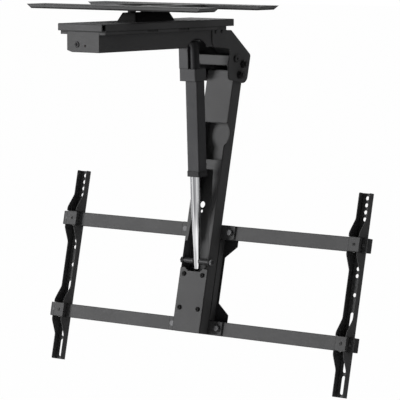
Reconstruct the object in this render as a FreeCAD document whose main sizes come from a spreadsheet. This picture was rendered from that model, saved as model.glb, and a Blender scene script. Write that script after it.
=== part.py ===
import FreeCAD, Part
import os
import re
import Sketcher
from FreeCAD import Placement, Rotation, Vector

# Motorized ceiling mount for a television.
#
# Frame: +Z up, the ceiling face is Z = 0 and the origin is the centre of the four lag screw holes.
# The screen faces -Y. The housing hangs under the plate, and its free end points to +Y.
# At rest the arm hangs down with the screen leaned forward, and it folds up under the housing.
#
# Four frames carry the pieces: the ceiling plate's own, the housing's (origin on the swivel axis,
# on the lid's top), the arm's (origin in the middle of the upper crossbar's front face, x along
# the bars, y out of the front, z up along the arm) and the actuator's (z along the rod).

SIZES = {
    # Ceiling plate: a stamped tray in the shape of an H
    "rail_length": 508,
    "rail_width": 60,
    "rail_spacing": 203,
    "rail_end_slope": 14,
    "web_width": 170,
    "plate_depth": 9.5,
    "plate_sheet": 3,
    "lag_spacing": 406.4,
    "lag_hole": 9,
    "dish_depth": 6.5,
    "dish_width": 124,
    "dish_slope": 6,
    # Swivel
    "swivel_forward": 18.5,
    "swivel_gap": 6.5,
    "swivel_shank": 12,
    "swivel_head_width": 26,
    "swivel_head_height": 5,
    "swivel_socket": 8,
    "swivel_socket_depth": 2.5,
    "swivel_nut_across": 19,
    "swivel_nut_height": 8,
    "swivel_collar_width": 26,
    "swivel_collar_height": 2.5,
    "swivel_thread_end": 1.5,
    "post_width": 25,
    "hat_height": 19.5,
    "hat_slope": 9,
    "hat_top_x": 42,
    "hat_top_y": 114,
    "hat_sheet": 3,
    "hat_corner": 6,
    "hat_edge": 2,
    "pad_width": 18,
    "pad_spacing": 94,
    "pad_stud": 6,
    "pad_stud_end": 1,
    "pad_edge": 1,
    # Lid
    "lid_width": 130,
    "lid_front": 206,
    "lid_back": 226,
    "lid_height": 16,
    "lid_sheet": 2,
    "lid_hem": 10,
    "lid_bend": 2.5,
    "flap_reach": 10,
    "flap_inset": 1.4,
    "flap_short": 0.5,
    "flap_bend": 2,
    # Housing box
    "box_width": 92.8,
    "box_front": 205.8,
    "box_back": 222,
    "box_drop": 61.8,
    "box_sheet": 2,
    "box_bevel_x": 14,
    "box_bevel_z": 4,
    "lip_drop": 7.5,
    "floor_back": -7,
    "floor_flange": 4,
    "notch_centre": 120.6,
    "notch_radius": 43.9,
    "notch_top": 42,
    "seam_slot_front": 35,
    "seam_slot_rear": 70,
    "seam_slot_length": 33,
    "seam_slot_height": 3.5,
    "jack_x": 17.6,
    "jack_drop": 45.1,
    "jack_width": 9,
    "jack_ring_width": 13,
    "jack_ring_height": 1.6,
    "jack_bore": 5.6,
    "jack_bore_depth": 10,
    "jack_length": 15,
    "jack_pin": 2,
    "jack_pin_setback": 1,
    "led_x": 5.6,
    "led_drop": 47.6,
    "led_width": 3.6,
    "led_flange": 5,
    "led_rim": 0.8,
    "led_bevel": 0.6,
    "led_length": 6,
    "control_front": 190,
    "control_length": 120,
    "control_width": 72,
    "control_height": 34,
    "control_corner": 3,
    "lid_screw_x": 56,
    "lid_screw_front": 150,
    "lid_screw_step": 140,
    "lid_screw_shank": 4,
    "lid_screw_head": 7,
    "lid_screw_head_height": 2.4,
    "lid_screw_end": 3,
    # Cheek plates
    "cheek_sheet": 3,
    "cheek_front": 169,
    "cheek_shoulder": 217,
    "cheek_shoulder_drop": 26,
    "cheek_break": 236,
    "cheek_throat_drop": 68.9,
    "cheek_nose_drop": 62.1,
    "cheek_waist": 225,
    "cheek_waist_drop": 104,
    "cheek_foot": 228,
    "cheek_foot_drop": 138,
    "cheek_heel": 291,
    "cheek_heel_drop": 151,
    "cheek_tail": 305.5,
    "cheek_tail_drop": 84.5,
    "cheek_nose_radius": 16,
    "cheek_tail_radius": 18,
    "cheek_corner_radius": 7,
    "cheek_screw_front": 181,
    "cheek_screw_rear": 202.3,
    "cheek_screw_drop": 28.6,
    "cheek_screw_shank": 4,
    "cheek_screw_head": 7.6,
    "cheek_screw_head_height": 2.4,
    "cheek_screw_end": 2,
    # Folded plate that closes the back between the cheeks
    "closure_sheet": 2.5,
    "closure_drop": 125,
    # Strap between the cheeks
    "strap_sheet": 3,
    "strap_face": 232,
    "strap_face_top": 83.4,
    "strap_face_bottom": 106,
    "strap_bottom": 115.2,
    "strap_ear_height": 35,
    "strap_ear_rear": 93.8,
    "strap_reach": 57,
    "tie_back": 277,
    "tie_drop": 104.5,
    "tie_shank": 10,
    "tie_across": 16,
    "tie_head_height": 6.4,
    "tie_nut_height": 8,
    "tie_thread_end": 5,
    "boss_back": 253,
    "boss_drop": 91.4,
    "boss_head": 18,
    "boss_head_height": 5,
    "boss_shank": 8,
    "boss_nut_across": 13,
    "boss_nut_height": 5,
    "boss_thread_end": 0.5,
    "boss_socket": 5,
    # Arm hinge
    "hinge_back": 266,
    "hinge_drop": 128.5,
    "hinge_shank": 10,
    "hinge_across": 16,
    "hinge_head_height": 6.4,
    "hinge_nut_height": 8,
    "hinge_thread_end": 3,
    "hinge_washer_width": 20,
    "hinge_washer_sheet": 2,
    "bush_wall": 1,
    "bush_flange": 20,
    "bush_collar": 6.4,
    # Arm
    "arm_lean": 12.2,
    "arm_front": 35,
    "arm_sheet": 2.5,
    "arm_bottom": 234.8,
    "arm_bend": 3,
    "arm_back_radius": 9,
    "arm_front_radius": 4,
    "hinge_up": 357.8,
    "hinge_out": 27.2,
    "hinge_margin": 9.2,
    "window_top": 245,
    "window_bottom": 160,
    "scallop_radius": 30.3,
    "scallop_out": 51.6,
    "scallop_up": 219.6,
    "bridge_bottom": 137,
    "mouth_top_half": 16,
    "mouth_upper": 88,
    "mouth_upper_half": 21.5,
    "mouth_lower": -23,
    "mouth_lower_half": 30,
    "lip_end": -60,
    "lip_cut_top": -29,
    "cable_hole_x": 25,
    "cable_hole_up": 58.5,
    "cable_hole_width": 15,
    "tie_hole_up": 43.2,
    "tie_hole_width": 7.4,
    # Cover plate at the arm's foot
    "cover_top": 96.5,
    "cover_ear": 7,
    "cover_ear_width": 13.7,
    "cover_ear_bevel": 1.7,
    "cover_corner": 2,
    "cover_notch_half": 18,
    "cover_sheet": 3,
    "cover_lip_width": 19,
    "cover_lip_gap": 2,
    "cover_bolt_inset": 12.7,
    "cover_bolt_upper": 104.3,
    "cover_bolt_lower": 181.5,
    "cover_bolt_shank": 6,
    "cover_bolt_head": 11,
    "cover_bolt_head_height": 3.2,
    "cover_bolt_socket": 4,
    "cover_bolt_end": 1,
    "cover_nut_across": 10,
    "cover_nut_height": 5,
    # Rod pin
    "pin_down": 73,
    "pin_out": 27,
    "pin_shank": 8,
    "pin_across": 13,
    "pin_head_height": 5.3,
    "pin_nut_height": 6.3,
    "pin_thread_end": 1,
    "pin_spacer_width": 13,
    # Television head
    "head_width": 80,
    "head_sheet": 3.5,
    "head_flange": 3,
    "wing_half": 78,
    "wing_corner": 4,
    "back_sheet": 2.5,
    "ear_half": 76,
    "ear_waist_half": 44,
    "upper_ear_edge": 30,
    "upper_ear_end": 56.5,
    "lower_ear_edge": 185.6,
    "lower_ear_end": 160.7,
    "clamp_bolt_half": 65,
    "clamp_bolt_shank": 8,
    "clamp_bolt_across": 13,
    "clamp_bolt_head_height": 5.3,
    "clamp_nut_height": 6.5,
    "clamp_thread_end": 0.5,
    # Crossbars
    "bar_length": 900,
    "bar_height": 32,
    "bar_depth": 14.5,
    "bar_wall": 1.8,
    "bar_pitch": 218.7,
    "bar_corner": 2,
    "cap_flange": 1.5,
    "stop_inset": 12,
    "stop_shank": 4,
    "stop_head": 8,
    "stop_head_height": 3,
    "stop_end": 2,
    # Television brackets
    "bracket_left_inset": 35.5,
    "bracket_right_inset": 30,
    "bracket_width": 30,
    "bracket_sheet": 2,
    "bracket_back": 17.5,
    "bracket_top": 115.5,
    "bracket_bottom": 335,
    "flange_front": -3,
    "bump_front": 14.5,
    "bump_slope": 32,
    "upper_bump_top": 57,
    "upper_bump_bottom": 56,
    "lower_bump_top": 163,
    "lower_bump_bottom": 276,
    "bump_radius": 15,
    "bracket_corner": 3,
    "bracket_hole": 9,
    "upper_hole": 104.8,
    "hole_pitch": 15.6,
    "middle_hole": 51.4,
    "single_hole": 109.1,
    "slot_width": 9.4,
    "upper_slot_top": 147.4,
    "upper_slot_length": 32.6,
    "middle_slot_top": 250,
    "middle_slot_length": 30.3,
    "lower_slot_top": 287,
    "lower_slot_length": 41.4,
    "clip_front": 12,
    "clip_sheet": 2.5,
    "clip_leg": 2,
    "clip_leg_height": 52,
    "set_screw": 6,
    "set_screw_out": 1.2,
    "set_screw_socket": 3,
    # Actuator
    "eye_back": 154,
    "eye_drop": 34,
    "eye_shank": 10,
    "eye_radius": 14,
    "eye_crown": 0.5,
    "gearbox_front": 17.5,
    "gearbox_rear": 21.5,
    "gearbox_left": 24,
    "gearbox_right": 24.5,
    "gearbox_step": 77,
    "column_right": 2.6,
    "column_rear": 14,
    "column_inset": 0.6,
    "gearbox_drop": 105.1,
    "gearbox_corner": 4,
    "lug_depth": 30,
    "lug_height": 24,
    "lug_sheet": 3,
    "lug_play": 1.2,
    "motor_x": 15.5,
    "motor_out": 7.5,
    "motor_width": 20,
    "motor_length": 50,
    "motor_cap_width": 24.6,
    "motor_cap_height": 12.5,
    "motor_cap_bevel": 1,
    "tube_width": 36.8,
    "tube_shift": 5.6,
    "tube_front": 13.25,
    "tube_rear": 15,
    "tube_length": 204,
    "tube_round": 7,
    "tube_corner": 3,
    "tube_bore": 24,
    "tube_cap_wall": 1.5,
    "tube_cap_height": 12.3,
    "rod_width": 22.5,
    "rod_tip_width": 15.5,
    "rod_tip": 18,
    "rod_bevel": 1.5,
    "rod_cone": 141,
    "rod_length": 212,
    "rod_bore": 12,
    "rod_bore_start": 25,
    "screw_width": 10,
    "screw_length": 300,
    "nut_width": 23.4,
    "nut_length": 14,
    # Fits, the reach of a cut past the material, and the shape of the screw heads
    "running_fit": 0.05,
    "hole_play": 0.2,
    "moving_gap": 0.3,
    "overcut": 1,
    "dome_share": 0.45,
    "socket_share": 0.55,
}

# Places worked out from the sizes, as expressions
HOUSE_Y = "swivel_forward"
HOUSE_Z = "-(plate_depth + swivel_gap + hat_height)"
HINGE_Y = f"({HOUSE_Y} - hinge_back)"
HINGE_Z = f"({HOUSE_Z} - hinge_drop)"
ARM_Y = f"({HINGE_Y} - hinge_out*cos(arm_lean) + hinge_up*sin(arm_lean))"
ARM_Z = f"({HINGE_Z} - hinge_out*sin(arm_lean) - hinge_up*cos(arm_lean))"
PIN_Y = f"({ARM_Y} + pin_out*cos(arm_lean) + pin_down*sin(arm_lean))"
PIN_Z = f"({ARM_Z} + pin_out*sin(arm_lean) - pin_down*cos(arm_lean))"
EYE_Y = f"({HOUSE_Y} - eye_back)"
EYE_Z = f"({HOUSE_Z} - eye_drop)"
ROD_TURN = f"-atan(({EYE_Y} - {PIN_Y})/({EYE_Z} - {PIN_Z}))"
ARM_TOP = "(hinge_up + hinge_margin)"
BOX_IN = "(box_width/2 - box_sheet)"
ARM_HALF = "(box_width/2 - bush_collar - moving_gap)"
ARM_IN = f"({ARM_HALF} - arm_sheet)"
CHEEK_OUT = "(box_width/2 + cheek_sheet)"
BAR_BACK = "(-bar_depth)"
COVER_BACK = "(arm_front - cover_sheet)"
STOP_X = "(bar_length/2 - stop_inset)"
LEFT_X = "bar_length/2 - bracket_left_inset"
RIGHT_X = "bracket_right_inset - bar_length/2"

EXPRESSION_WORDS = {"atan", "cos", "deg", "sin", "sqrt", "tan"}
NEAR = 0.02
PARALLEL = 1e-6

doc = FreeCAD.newDocument("tv_ceiling_mount")
sheet = doc.addObject("Spreadsheet::Sheet", "sizes")
for row, (name, size) in enumerate(SIZES.items(), 1):
    sheet.set(f"A{row}", name)
    sheet.set(f"B{row}", str(size))
    sheet.setAlias(f"B{row}", name)
doc.recompute()

pieces = []


def bound(text):
    """The expression with each size read from the sheet."""
    return re.sub(r"[a-z][a-z_0-9]*", lambda word: word.group() if word.group() in EXPRESSION_WORDS
                  else f"sizes.{word.group()}", str(text))


def number(text):
    """The present value of an expression."""
    found = sheet.evalExpression(str(text))
    return float(getattr(found, "Value", found))


def bind(thing, name, text):
    """Ties a property to the sheet, or sets it where the expression is a plain number."""
    thing.setExpression(name, bound(text))


class Piece:
    """One piece of the mount: a body whose features are tied to the sheet."""

    def __init__(self, label, x="0", y="0", z="0", turn=None):
        self.label = label
        self.body = doc.addObject("PartDesign::Body", label)
        self.body.Label = label
        self.body.AllowCompound = True
        self.last = None
        if turn:
            self.body.Placement = Placement(Vector(), Rotation(Vector(1, 0, 0), 1))
            bind(self.body, "Placement.Rotation.Angle", turn)
        for axis, text in zip("xyz", (x, y, z)):
            bind(self.body, f"Placement.Base.{axis}", text)
        pieces.append(self)

    def plane(self, role):
        return next(o for o in self.body.Origin.OriginFeatures if o.Role == f"{role}_Plane")

    def sketch(self, plane, at="0"):
        """A sketch on an origin plane, moved to the coordinate at on the plane's own axis."""
        drawn = self.body.newObject("Sketcher::SketchObject", f"{self.label}_sketch")
        drawn.AttachmentSupport = [(self.plane(plane), "")]
        drawn.MapMode = "FlatFace"
        bind(drawn, "AttachmentOffset.Base.z", f"-({at})" if plane == "XZ" else at)
        return Sketch(drawn, plane)

    def extrude(self, kind, sketch, length, toward):
        feature = self.body.newObject(f"PartDesign::{kind}", f"{self.label}_{kind.lower()}")
        feature.Profile = sketch.drawn
        if length is None:
            feature.Type = "ThroughAll"
        else:
            bind(feature, "Length", length)
        if toward == 0:
            feature.SideType = "Symmetric"
        else:
            along = -toward if sketch.plane == "XZ" else toward
            feature.Reversed = along < 0 if kind == "Pad" else along > 0
        self.last = feature
        return feature

    def pad(self, sketch, length, toward=1):
        """Adds material towards + or -, or half to each side with 0."""
        return self.extrude("Pad", sketch, length, toward)

    def cut(self, sketch, length=None, toward=0):
        """Takes material away, all the way through where no length is given."""
        return self.extrude("Pocket", sketch, length, toward)

    def turn(self, sketch, groove=False):
        """Turns a sketch about its own vertical axis."""
        kind = "Groove" if groove else "Revolution"
        feature = self.body.newObject(f"PartDesign::{kind}", f"{self.label}_{kind.lower()}")
        feature.Profile = sketch.drawn
        feature.ReferenceAxis = (sketch.drawn, ["V_Axis"])
        feature.Angle = 360
        self.last = feature
        return feature

    def mirror(self, plane="YZ"):
        """Repeats the whole piece on the other side of an origin plane."""
        feature = self.body.newObject("PartDesign::Mirrored", f"{self.label}_mirror")
        feature.TransformMode = "Whole shape"
        feature.MirrorPlane = (self.plane(plane), [""])
        self.body.Tip = feature
        self.last = feature
        return feature

    def round_edges(self, radius, wanted, kind="Fillet"):
        """Rounds or bevels the edges of the last feature that the test wanted picks."""
        doc.recompute()
        base = self.last
        names = [f"Edge{i}" for i, edge in enumerate(base.Shape.Edges, 1) if wanted(edge)]
        feature = self.body.newObject(f"PartDesign::{kind}", f"{self.label}_{kind.lower()}")
        feature.Base = (base, names)
        bind(feature, "Radius" if kind == "Fillet" else "Size", radius)
        self.last = feature
        return feature

    def round_corners(self, axis, radius, corners):
        """Rounds the straight edges along an axis that pass through the given corners."""
        places = [tuple(number(text) for text in corner) for corner in corners]
        others = [i for i in range(3) if i != "xyz".index(axis)]

        def wanted(edge):
            if not is_along(edge, axis):
                return False
            middle = edge.CenterOfMass
            return any(all(abs(middle[i] - p) < NEAR for i, p in zip(others, place)) for place in places)

        return self.round_edges(radius, wanted)


def is_along(edge, axis):
    """Whether an edge is straight and parallel to an axis."""
    if edge.Curve.TypeId != "Part::GeomLine":
        return False
    return abs(abs(edge.Curve.Direction["xyz".index(axis)]) - 1) < PARALLEL


def is_rim(axis, at, width):
    """A test for whole circles of a width that lie across an axis at a coordinate."""
    index = "xyz".index(axis)

    def wanted(edge):
        if edge.Curve.TypeId != "Part::GeomCircle" or not edge.isClosed():
            return False
        away = edge.Curve.Center[index] - number(at)
        wider = 2*edge.Curve.Radius - number(width)
        return abs(away) < NEAR and abs(wider) < NEAR

    return wanted


class Sketch:
    """A sketch whose points and radii are tied to the sheet."""

    def __init__(self, drawn, plane):
        self.drawn = drawn
        self.plane = plane

    def constrain(self, kind, geometry, text, *place):
        index = self.drawn.addConstraint(Sketcher.Constraint(kind, *place, *geometry, number(text)))
        if re.search("[a-z]", str(text)):
            self.drawn.setExpression(f"Constraints[{index}]", bound(text))

    def pin_down(self, geometry, point, x, y):
        """Holds one point of a piece of geometry at x, y."""
        self.constrain("DistanceX", (geometry, point), x, -1, 1)
        self.constrain("DistanceY", (geometry, point), y, -1, 1)

    def polygon(self, *points):
        count = len(points)
        first = self.drawn.GeometryCount
        spots = [Vector(number(x), number(y), 0) for x, y in points]
        self.drawn.addGeometry([Part.LineSegment(spots[i], spots[(i + 1) % count])
                                for i in range(count)], False)
        for i in range(count):
            self.drawn.addConstraint(
                Sketcher.Constraint("Coincident", first + i, 2, first + (i + 1) % count, 1))
        for i, (x, y) in enumerate(points):
            self.pin_down(first + i, 1, x, y)
        return self

    def box(self, x0, x1, y0, y1):
        return self.polygon((x0, y0), (x1, y0), (x1, y1), (x0, y1))

    def hexagon(self, x, y, across):
        reach = f"({across})/sqrt(3)"
        return self.polygon(*[(f"{x} + {reach}*cos({angle})", f"{y} + {reach}*sin({angle})")
                              for angle in range(0, 360, 60)])

    def circle(self, x, y, width):
        disc = Part.Circle(Vector(number(x), number(y), 0), Vector(0, 0, 1), number(width)/2)
        index = self.drawn.addGeometry(disc, False)
        self.constrain("Radius", (index,), f"({width})/2")
        self.pin_down(index, 3, x, y)
        return self

    def slot(self, x, y0, y1, width):
        """An upright slot between the ends y0 and y1."""
        half = number(width)/2
        low = Vector(number(x), number(y0) + half, 0)
        high = Vector(number(x), number(y1) - half, 0)
        side = Vector(half, 0, 0)
        up = Vector(0, half, 0)
        first = self.drawn.GeometryCount
        self.drawn.addGeometry([
            Part.Arc(high + side, high + up, high - side),
            Part.LineSegment(high - side, low - side),
            Part.Arc(low - side, low - up, low + side),
            Part.LineSegment(low + side, high + side)], False)
        for i in range(4):
            joined = Sketcher.Constraint("Tangent", first + i, 2, first + (i + 1) % 4, 1)
            self.drawn.addConstraint(joined)
        self.pin_down(first, 3, x, f"{y1} - ({width})/2")
        self.pin_down(first + 2, 3, x, f"{y0} + ({width})/2")
        self.constrain("Radius", (first,), f"({width})/2")
        return self


def headed(label, plane, places, seat, facing, head, head_height, shank, shank_length,
           hexagonal=False, rim="Chamfer", rim_size=None, socket=None, socket_depth=None, **frame):
    """Screws or bolts side by side: heads on the seat, facing + or -, and shanks behind it."""
    piece = Piece(label, **frame)
    heads = piece.sketch(plane, seat)
    shanks = piece.sketch(plane, seat)
    for x, y in places:
        if hexagonal:
            heads.hexagon(x, y, head)
        else:
            heads.circle(x, y, head)
        shanks.circle(x, y, shank)
    piece.pad(heads, head_height, facing)
    axis = {"XY": "z", "XZ": "y", "YZ": "x"}[plane]
    top = f"({seat}) + {facing}*({head_height})"
    if not hexagonal:
        size = rim_size or f"dome_share*{head_height}"
        piece.round_edges(size, is_rim(axis, top, head), rim)
    if socket:
        sockets = piece.sketch(plane, top)
        for x, y in places:
            sockets.hexagon(x, y, socket)
        piece.cut(sockets, socket_depth or f"socket_share*{head_height}", -facing)
    piece.pad(shanks, shank_length, -facing)
    return piece


def nuts(label, plane, places, seat, facing, across, height, bore, **frame):
    """Hexagon nuts side by side, standing on the seat."""
    piece = Piece(label, **frame)
    outline = piece.sketch(plane, seat)
    for x, y in places:
        outline.hexagon(x, y, across)
        outline.circle(x, y, bore)
    piece.pad(outline, height, facing)
    return piece


HOUSE = {"y": HOUSE_Y, "z": HOUSE_Z}
ARM = {"y": ARM_Y, "z": ARM_Z, "turn": "arm_lean"}
ROD = {"y": PIN_Y, "z": PIN_Z, "turn": ROD_TURN}
ACTUATOR = {"y": EYE_Y, "z": EYE_Z, "turn": ROD_TURN}


def ceiling_plate():
    """H-shaped stamped tray: two slotted rails, a cross web and a pressed dish for the swivel."""
    plate = Piece("ceiling_plate")
    rails = (("-1", "rear"), ("1", "front"))
    for side, _ in rails:
        start = f"{side}*rail_spacing/2 - rail_width/2"
        rail = plate.sketch("XZ", start)
        rail.polygon(("-rail_length/2", "0"), ("rail_length/2", "0"),
                     ("rail_length/2 - rail_end_slope", "-plate_depth"),
                     ("rail_end_slope - rail_length/2", "-plate_depth"))
        plate.pad(rail, "rail_width")
    web = plate.sketch("XY", "0").box("-web_width/2", "web_width/2", "-rail_spacing/2", "rail_spacing/2")
    plate.pad(web, "plate_depth", -1)
    for side, _ in rails:
        start = f"{side}*rail_spacing/2 - rail_width/2 + plate_sheet"
        slope = "rail_end_slope*plate_sheet/plate_depth"
        hollow = plate.sketch("XZ", start)
        hollow.polygon((f"plate_sheet + {slope} - rail_length/2", "-plate_sheet"),
                       (f"rail_length/2 - plate_sheet - {slope}", "-plate_sheet"),
                       ("rail_length/2 - plate_sheet - rail_end_slope", "-plate_depth"),
                       ("plate_sheet + rail_end_slope - rail_length/2", "-plate_depth"))
        plate.cut(hollow, "rail_width - 2*plate_sheet", 1)
    web_hollow = plate.sketch("XY", "-plate_depth")
    web_hollow.box("plate_sheet - web_width/2", "web_width/2 - plate_sheet",
                   "-rail_spacing/2", "rail_spacing/2")
    plate.cut(web_hollow, "plate_depth - plate_sheet", 1)
    dish = plate.sketch("XZ", "swivel_forward")
    dish.polygon(("0", "0"), ("dish_width/2 + dish_slope", "0"),
                 ("dish_width/2 + dish_slope", "-plate_sheet"),
                 ("dish_width/2", "-plate_depth"), ("0", "-plate_depth"))
    plate.turn(dish)
    bowl = plate.sketch("XZ", "swivel_forward")
    bowl.polygon(("0", "0"), ("dish_width/2 + dish_slope - plate_sheet", "0"),
                 ("dish_width/2 - plate_sheet", "-dish_depth"), ("0", "-dish_depth"))
    plate.turn(bowl, groove=True)
    holes = plate.sketch("XY", "0")
    for x_side in (-1, 1):
        for y_side in (-1, 1):
            holes.circle(f"{x_side}*lag_spacing/2", f"{y_side}*rail_spacing/2", "lag_hole")
    holes.circle("0", "swivel_forward", "swivel_shank + 2*hole_play")
    plate.cut(holes)


def swivel():
    """Bolt, distance post and collar nut on which the housing turns."""
    seat = "-dish_depth"
    hat_inside = "(plate_depth + swivel_gap + hat_sheet + moving_gap)"
    nut_end = f"({hat_inside} + swivel_collar_height + swivel_nut_height)"
    headed("swivel_bolt", "XY", [("0", "swivel_forward")], seat, 1, "swivel_head_width",
           "swivel_head_height", "swivel_shank", f"{nut_end} + swivel_thread_end - dish_depth",
           socket="swivel_socket", socket_depth="swivel_socket_depth")
    post = Piece("swivel_post")
    ring = post.sketch("XY", "-plate_depth")
    ring.circle("0", "swivel_forward", "post_width")
    ring.circle("0", "swivel_forward", "swivel_shank + 2*hole_play")
    post.pad(ring, "swivel_gap - moving_gap", -1)
    nut = nuts("swivel_nut", "XY", [("0", "swivel_forward")], f"-{hat_inside} - swivel_collar_height", -1,
               "swivel_nut_across", "swivel_nut_height", "swivel_shank + 2*hole_play")
    collar = nut.sketch("XY", f"-{hat_inside}")
    collar.circle("0", "swivel_forward", "swivel_collar_width")
    collar.circle("0", "swivel_forward", "swivel_shank + 2*hole_play")
    nut.pad(collar, "swivel_collar_height", -1)


def swivel_base():
    """Pressed pan on the lid, with sloping sides, that hangs on the swivel bolt."""
    hat = Piece("swivel_base", **HOUSE)
    crown = hat.sketch("XY", "hat_height")
    crown.box("-hat_top_x/2", "hat_top_x/2", "-hat_top_y/2", "hat_top_y/2")
    pan = hat.pad(crown, "hat_height", -1)
    bind(pan, "TaperAngle", "atan(hat_slope/hat_height)")
    hat.round_edges("hat_corner", lambda edge: edge.BoundBox.ZLength > NEAR)
    hat.round_edges("hat_edge", lambda edge: edge.BoundBox.ZMin > number("hat_height") - NEAR)
    inside = hat.sketch("XY", "hat_height - hat_sheet")
    inside.box("hat_sheet - hat_top_x/2", "hat_top_x/2 - hat_sheet",
               "hat_sheet - hat_top_y/2", "hat_top_y/2 - hat_sheet")
    hollow = hat.cut(inside, "hat_height - hat_sheet", -1)
    bind(hollow, "TaperAngle", "atan(hat_slope/hat_height)")
    holes = hat.sketch("XY", "0")
    holes.circle("0", "0", "swivel_shank + 2*running_fit")
    for side in (-1, 1):
        holes.circle("0", f"{side}*pad_spacing/2", "pad_stud + 2*hole_play")
    hat.cut(holes)
    pads = Piece("glide_pads", **HOUSE)
    discs = pads.sketch("XY", "hat_height")
    studs = pads.sketch("XY", "hat_height")
    for side in (-1, 1):
        discs.circle("0", f"{side}*pad_spacing/2", "pad_width")
        studs.circle("0", f"{side}*pad_spacing/2", "pad_stud")
    pads.pad(discs, "swivel_gap - moving_gap", 1)
    pads.round_edges("pad_edge", is_rim("z", "hat_height + swivel_gap - moving_gap", "pad_width"), "Chamfer")
    pads.pad(studs, "hat_sheet + pad_stud_end", -1)


def housing_lid():
    """Folded lid with a hem along each side and a flap that stands out over the front."""
    lid = Piece("housing_lid", **HOUSE)
    half = "lid_width/2"
    section = lid.sketch("XZ", "-lid_back")
    section.polygon(
        (f"-{half}", "-lid_height"), (f"-{half}", "0"), (half, "0"), (half, "-lid_height"),
        (f"{half} - lid_sheet - lid_hem", "-lid_height"),
        (f"{half} - lid_sheet - lid_hem", "lid_sheet - lid_height"),
        (f"{half} - lid_sheet", "lid_sheet - lid_height"), (f"{half} - lid_sheet", "-lid_sheet"),
        (f"lid_sheet - {half}", "-lid_sheet"), (f"lid_sheet - {half}", "lid_sheet - lid_height"),
        (f"lid_sheet + lid_hem - {half}", "lid_sheet - lid_height"),
        (f"lid_sheet + lid_hem - {half}", "-lid_height"))
    lid.pad(section, "lid_front + lid_back")
    lid.round_corners("y", "lid_bend", [(f"-{half}", "0"), (half, "0")])
    rear = lid.sketch("XZ", "-lid_back")
    rear.box(f"lid_sheet - {half}", f"{half} - lid_sheet", "-lid_height", "-lid_sheet")
    lid.pad(rear, "lid_sheet")
    flap = lid.sketch("YZ", "0")
    flap.polygon(("lid_front - lid_sheet", "0"), ("lid_front + flap_reach", "0"),
                 ("lid_front + flap_reach", "flap_short - lid_height"),
                 ("lid_front + flap_reach - lid_sheet", "flap_short - lid_height"),
                 ("lid_front + flap_reach - lid_sheet", "-lid_sheet"),
                 ("lid_front - lid_sheet", "-lid_sheet"))
    lid.pad(flap, "lid_width - 2*flap_inset", 0)
    lid.round_corners("x", "flap_bend", [("lid_front + flap_reach", "0")])
    holes = lid.sketch("XY", "-lid_height")
    for x, y in lid_screw_places():
        holes.circle(x, y, "lid_screw_shank + 2*hole_play")
    lid.cut(holes, "lid_sheet", 1)


def lid_screw_places():
    return [(f"{side}*lid_screw_x", f"lid_screw_front - {step}*lid_screw_step")
            for side in (-1, 1) for step in range(3)]


def housing_box():
    """Folded channel with turned lips, a bevelled bottom corner and an open rear floor."""
    box = Piece("housing_box", **HOUSE)
    half = "box_width/2"
    inner = f"{half} - box_sheet"
    lip = "lid_width/2"
    bevel_x = f"{half} - box_bevel_x"
    section = box.sketch("XZ", "-box_back")
    section.polygon(
        (f"-{lip}", "-lid_height"), (f"-({inner})", "-lid_height"), (f"-({inner})", "box_sheet - box_drop"),
        (bevel_x, "box_sheet - box_drop"), (inner, "box_bevel_z + box_sheet - box_drop"),
        (inner, "-lid_height"), (lip, "-lid_height"), (lip, "-lid_height - lip_drop"),
        (f"{lip} - box_sheet", "-lid_height - lip_drop"), (f"{lip} - box_sheet", "-lid_height - box_sheet"),
        (half, "-lid_height - box_sheet"), (half, "box_bevel_z - box_drop"), (bevel_x, "-box_drop"),
        (f"-{half}", "-box_drop"), (f"-{half}", "-lid_height - box_sheet"),
        (f"box_sheet - {lip}", "-lid_height - box_sheet"), (f"box_sheet - {lip}", "-lid_height - lip_drop"),
        (f"-{lip}", "-lid_height - lip_drop"))
    box.pad(section, "box_front + box_back")
    front = box.sketch("XZ", "box_front")
    front.polygon((f"-{half}", "-lid_height"), (half, "-lid_height"), (half, "box_bevel_z - box_drop"),
                  (bevel_x, "-box_drop"), (f"-{half}", "-box_drop"))
    box.pad(front, "box_sheet", -1)
    floor = box.sketch("XY", "-box_drop")
    floor.box(f"floor_flange - {half}", f"{half} - floor_flange", "-box_back - box_sheet", "floor_back")
    box.cut(floor, "box_sheet + box_bevel_z", 1)
    for side in (-1, 1):
        lip_cut = box.sketch("XY", "-lid_height")
        edges = sorted([f"{side}*({half})", f"{side}*({lip} + box_sheet)"], key=number)
        lip_cut.box(edges[0], edges[1], "-box_back - box_sheet", "-cheek_front")
        box.cut(lip_cut, "lip_drop + box_sheet", -1)
        slots = box.sketch("YZ", f"{side}*{lip}")
        for start in ("seam_slot_front", "-seam_slot_rear"):
            slots.box(start, f"{start} + seam_slot_length", "-lid_height - seam_slot_height", "-lid_height")
        box.cut(slots, "box_sheet", -side)
    notch = box.sketch("YZ", f"-{half}")
    notch.circle("-notch_centre", "-notch_top - notch_radius", "2*notch_radius")
    box.cut(notch, "floor_flange + box_sheet", 1)
    holes = box.sketch("XZ", "box_front")
    holes.circle("jack_x", "-jack_drop", "jack_width + 2*hole_play")
    holes.circle("-led_x", "-led_drop", "led_width + 2*hole_play")
    box.cut(holes, "box_sheet", -1)
    screws = box.sketch("XY", "-lid_height")
    for x, y in lid_screw_places():
        screws.circle(x, y, "lid_screw_shank + 2*hole_play")
    box.cut(screws, "box_sheet", -1)
    cheek = box.sketch("YZ", "0")
    for y, z in cheek_screw_places():
        cheek.circle(y, z, "cheek_screw_shank + 2*hole_play")
    box.cut(cheek)


def cheek_screw_places():
    return [("-cheek_screw_front", "-cheek_screw_drop"), ("-cheek_screw_rear", "-cheek_screw_drop")]


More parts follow.
